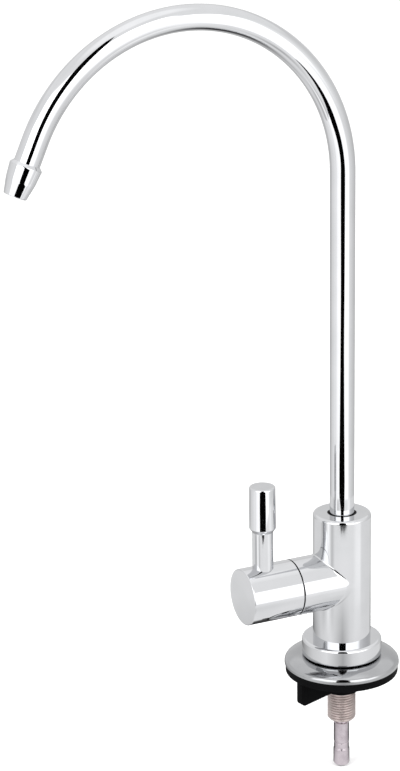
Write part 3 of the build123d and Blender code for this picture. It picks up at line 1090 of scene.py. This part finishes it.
fitted(cover_plate_dome(), "tap", "cover_plate")
fitted(deck_gasket_disc(), "tap", "deck_gasket")
fitted(base_collar_ring(), "tap", "base_collar")
fitted(collar_seal_ring(), "tap", "collar_seal")
fitted(body_shell(), "tap", "tap_body")
fitted(hub_slip_ring_band(), "tap", "hub_slip_ring")
fitted(spout_bush_ring(), "tap", "spout_bush")
fitted(handle_hub_drum(), "handle", "handle_hub")
fitted(lever_pin(), "handle", "lever")
fitted(spout_gooseneck(), "spout", "spout_tube")
fitted(spout_nozzle(), "spout", "nozzle")
fitted(threaded_shank_stud(), "tap", "threaded_shank")
fitted(inlet_stem_pipe(), "tap", "inlet_stem")
fitted(wing_nut_shell(), "wing_nut", "wing_nut")
fitted(clamp_washer_ring(), "nut_washer", "clamp_washer")


# Studio: a pale floor, a soft surround, and dark cards that only reflections see
floor_height = stem_foot - 0.6 * MM
floor_half = 6.0
table_height = floor_height + 0.5 * MM
card_height = floor_height + 1.0 * MM
matt_roughness = 0.9


def matt_sheet(name, corners, clean, worn, cloud_scale=4.0, specular=0.0):
    """A flat matt sheet of the studio that moves between two close greys."""
    sheet = mesh_piece(name, corners, [list(range(len(corners)))])
    material, tree, shader, place = new_material(name)
    shader.inputs["Roughness"].default_value = matt_roughness
    shader.inputs["Specular IOR Level"].default_value = specular
    cloud = grouped(tree, haze_group, Vector=place, Scale=cloud_scale, Smooth=0.0, Hazy=1.0)
    tinted(tree, shader, cloud["Mask"], (clean,) * 3, (worn,) * 3)
    sheet.data.materials.append(material)
    return sheet, tree, shader, place


def for_reflections_only(sheet):
    sheet.visible_camera = False
    sheet.visible_diffuse = False
    sheet.visible_shadow = False
    sheet.visible_transmission = False


def pale_floor():
    signs = ((-1, -1), (1, -1), (1, 1), (-1, 1))
    corners = [(floor_half * x, floor_half * y, floor_height) for x, y in signs]
    floor = matt_sheet("pale_floor", corners, 0.93, 0.90, cloud_scale=3.0, specular=0.1)[0]
    floor.visible_glossy = False


def dark_card(name, corners):
    """A dark card that is seen only in reflections."""
    for_reflections_only(matt_sheet(name, corners, 0.0005, 0.001)[0])


# Outline of the card on the table, as (distance toward the camera, distance to the right)
card_outline = [
    (0.268, -0.14), (0.276, -0.10), (0.276, -0.06), (0.266, -0.03), (0.270, 0.0), (0.267, 0.02),
    (0.267, 0.09), (0.30, 0.12), (0.53, 0.125), (0.65, 0.19), (1.0, 0.36), (1.0, -0.38),
    (0.65, -0.205), (0.53, -0.185), (0.31, -0.165),
]
# Front panel, upright: half its width up to its shoulders, then narrower to its peak
panel_distance = 1.0
panel_half, panel_top = 0.24, 1.15
panel_peak_half, panel_peak = 0.09, 2.1
to_the_right = Vector((math.cos(camera_azimuth), math.sin(camera_azimuth), 0))


def studio_point(out, right, height):
    """A point given by its distance toward the camera, its distance to the right and its height."""
    return toward_camera * out + to_the_right * right + Vector((0, 0, height))


def dark_cards():
    dark_card("dark_table_card", [studio_point(out, right, card_height) for out, right in card_outline])
    panel = (
        (panel_half, floor_height),
        (-panel_half, floor_height),
        (-panel_half, panel_top),
        (-panel_peak_half, panel_peak),
        (panel_peak_half, panel_peak),
        (panel_half, panel_top),
    )
    dark_card("dark_front_panel", [studio_point(panel_distance, right, height) for right, height in panel])


# Brightness of the studio around the tap, as (degrees to the right of the camera, brightness)
low_ring = [
    (-180, 0.63), (-126, 0.72), (-112, 1.0), (-85, 1.12), (-72, 1.25), (-62, 1.2), (-52, 1.5), (-25, 1.7),
    (0, 1.5), (22, 1.7), (52, 1.7), (64, 1.12), (90, 0.98), (118, 0.80), (150, 0.65), (180, 0.63),
]
high_ring = [
    (-180, 0.89), (-130, 0.93), (-110, 1.0), (-76, 1.1), (-66, 1.0), (-58, 2.4), (-14, 2.6),
    (0, 2.2), (14, 2.6), (64, 2.5), (76, 1.3), (95, 1.05), (118, 0.9), (150, 0.85), (180, 0.89),
]
front_ring = [(-180, 1.1), (-60, 1.1), (-48, 3.0), (46, 3.0), (52, 1.15), (180, 1.1)]
upper_ring = [(-180, 1.15), (-110, 1.1), (-76, 1.1), (-40, 1.15), (95, 1.15), (180, 1.15)]
# Rings of the glowing table sheet, all painted light: painted shadow of the tap close to its foot and behind
# it, and a patch of painted shade in front of it in the middle ring.
painted_foot_shadow_ring = [
    (-180, 0.03), (-130, 0.08), (-90, 0.8), (-40, 1.1), (40, 1.1), (90, 0.8), (130, 0.08), (180, 0.03),
]
painted_near_shade_ring = [
    (-180, 0.02), (-150, 0.3), (-90, 0.95), (-45, 1.12), (-25, 0.9), (0, 0.58), (28, 1.0), (50, 1.12),
    (130, 0.95), (155, 0.3), (180, 0.02),
]
painted_table_light_ring = [
    (-180, 0.65), (-150, 0.65), (-130, 0.97), (-95, 1.0), (-77, 0.58), (-66, 1.0), (-57, 1.6), (-42, 0.75),
    (-30, 1.12), (0, 1.16), (40, 1.15), (55, 1.32), (70, 1.34), (80, 1.05), (130, 0.95), (160, 0.65),
    (180, 0.65),
]
table_radius = 0.30
table_steps = 64
# The ramps hold colours up to 1, so the rings are divided by this and the lights multiply it back
ramp_scale = 3.0
ceiling_glow = 1.4
dome_glow = 1.15
# Fades between the rings: distances from the tap on the table, and the rise of the direction around it
inner_to_middle, middle_to_outer = (0.07, 0.11), (0.14, 0.21)
low_to_high, high_to_front = (-0.14, 0.08), (0.42, 0.50)
front_to_upper, upper_to_ceiling = (0.62, 0.70), (0.86, 0.95)


def ring_colours(tree, vector, rings):
    """The rings' colours in a direction, and the direction's parts: X toward the camera, Y to the right."""
    rotation = (0, 0, math.pi / 2 - camera_azimuth)
    turned_to = wire(tree, "ShaderNodeMapping", Vector=vector, Rotation=rotation).outputs[0]
    parts = wire(tree, "ShaderNodeSeparateXYZ", Vector=turned_to).outputs
    angle = wire(tree, "ShaderNodeMath", {"operation": "ARCTAN2"}, i0=parts["Y"], i1=parts["X"]).outputs[0]
    share = wire(tree, "ShaderNodeMapRange", Value=angle, From_Min=-math.pi, From_Max=math.pi).outputs[0]
    colours = []
    for ring in rings:
        stops = [((degrees + 180) / 360, value / ramp_scale) for degrees, value in ring]
        colours.append(ramp(tree, share, stops))
    return colours, parts


def faded(tree, value, fade, first, second):
    """A colour that goes from the first to the second while a value runs through the fade."""
    share = wire(tree, "ShaderNodeMapRange", Value=value, From_Min=fade[0], From_Max=fade[1]).outputs[0]
    return wire(tree, "ShaderNodeMix", {"data_type": "RGBA"}, i0=share, i6=first, i7=second).outputs[2]


def painted_table_glow():
    """The table near the tap as its polish shows it, as a glowing sheet of painted light: paler outwards,
    with painted shadow of the tap close by and behind it.
    """
    angles = [2 * math.pi * step / table_steps for step in range(table_steps)]
    rim = [(table_radius * math.cos(angle), table_radius * math.sin(angle)) for angle in angles]
    corners = [(x, y, table_height) for x, y in rim]
    sheet, tree, shader, place = matt_sheet("painted_table_glow", corners, 0.004, 0.007)
    rings, _ = ring_colours(tree, place, (painted_foot_shadow_ring, painted_near_shade_ring, painted_table_light_ring))
    flat = wire(tree, "ShaderNodeVectorMath", {"operation": "MULTIPLY"}, i0=place, i1=(1, 1, 0)).outputs[0]
    distance = wire(tree, "ShaderNodeVectorMath", {"operation": "LENGTH"}, i0=flat).outputs["Value"]
    inner = faded(tree, distance, inner_to_middle, rings[0], rings[1])
    glow = faded(tree, distance, middle_to_outer, inner, rings[2])
    # The table's painted light and painted shadow glow as emission, unlit by the lamps.
    tree.links.new(glow, shader.inputs["Emission Color"])
    shader.inputs["Emission Strength"].default_value = ramp_scale
    for_reflections_only(sheet)


def studio_surround():
    """White to the camera, a soft dome for light, and rings of softboxes for reflections."""
    world = bpy.data.worlds.new("studio")
    bpy.context.scene.world = world
    world.use_nodes = True
    tree = world.node_tree
    tree.nodes.clear()
    direction = tree.nodes.new("ShaderNodeTexCoord").outputs["Generated"]
    rings, parts = ring_colours(tree, direction, (low_ring, high_ring, front_ring, upper_ring))
    around = faded(tree, parts["Z"], low_to_high, rings[0], rings[1])
    front = faded(tree, parts["Z"], high_to_front, around, rings[2])
    above = faded(tree, parts["Z"], front_to_upper, front, rings[3])
    ceiling = (ceiling_glow / ramp_scale,) * 3 + (1,)
    mirrored = faded(tree, parts["Z"], upper_to_ceiling, above, ceiling)
    white = (1, 1, 1, 1)
    seen = wire(tree, "ShaderNodeBackground", Color=white, Strength=1.0).outputs[0]
    glow = wire(tree, "ShaderNodeBackground", Color=white, Strength=dome_glow).outputs[0]
    mirror = wire(tree, "ShaderNodeBackground", Color=mirrored, Strength=ramp_scale).outputs[0]
    light_path = tree.nodes.new("ShaderNodeLightPath").outputs
    lit = wire(tree, "ShaderNodeMixShader", i0=light_path["Is Glossy Ray"], i1=glow, i2=mirror).outputs[0]
    shown = wire(tree, "ShaderNodeMixShader", i0=light_path["Is Camera Ray"], i1=lit, i2=seen).outputs[0]
    output = tree.nodes.new("ShaderNodeOutputWorld")
    tree.links.new(shown, output.inputs["Surface"])


# Softboxes: place as (toward the camera, to the right, height), height aimed at, width, power
softboxes = {
    "key_softbox": ((0.7, -0.9, 1.1), 0.1, 0.9, 12.0),
    "fill_softbox": ((0.6, 1.0, 0.8), 0.05, 0.8, 8.0),
}


def softbox(name, place, aim_height, width, power):
    """A square light that is not seen itself, aimed at a point on the tap's axis."""
    place = studio_point(*place)
    aim = Vector((0, 0, aim_height))
    lamp = bpy.data.lights.new(name, "AREA")
    lamp.size = width
    lamp.energy = power
    box = bpy.data.objects.new(name, lamp)
    box.location = place
    box.rotation_euler = (aim - place).to_track_quat("-Z", "Y").to_euler()
    box.visible_glossy = False
    box.visible_camera = False
    bpy.context.scene.collection.objects.link(box)


photo_camera()
pale_floor()
dark_cards()
painted_table_glow()
studio_surround()
for softbox_name, softbox_values in softboxes.items():
    softbox(softbox_name, *softbox_values)
bpy.context.scene.view_settings.view_transform = "Standard"
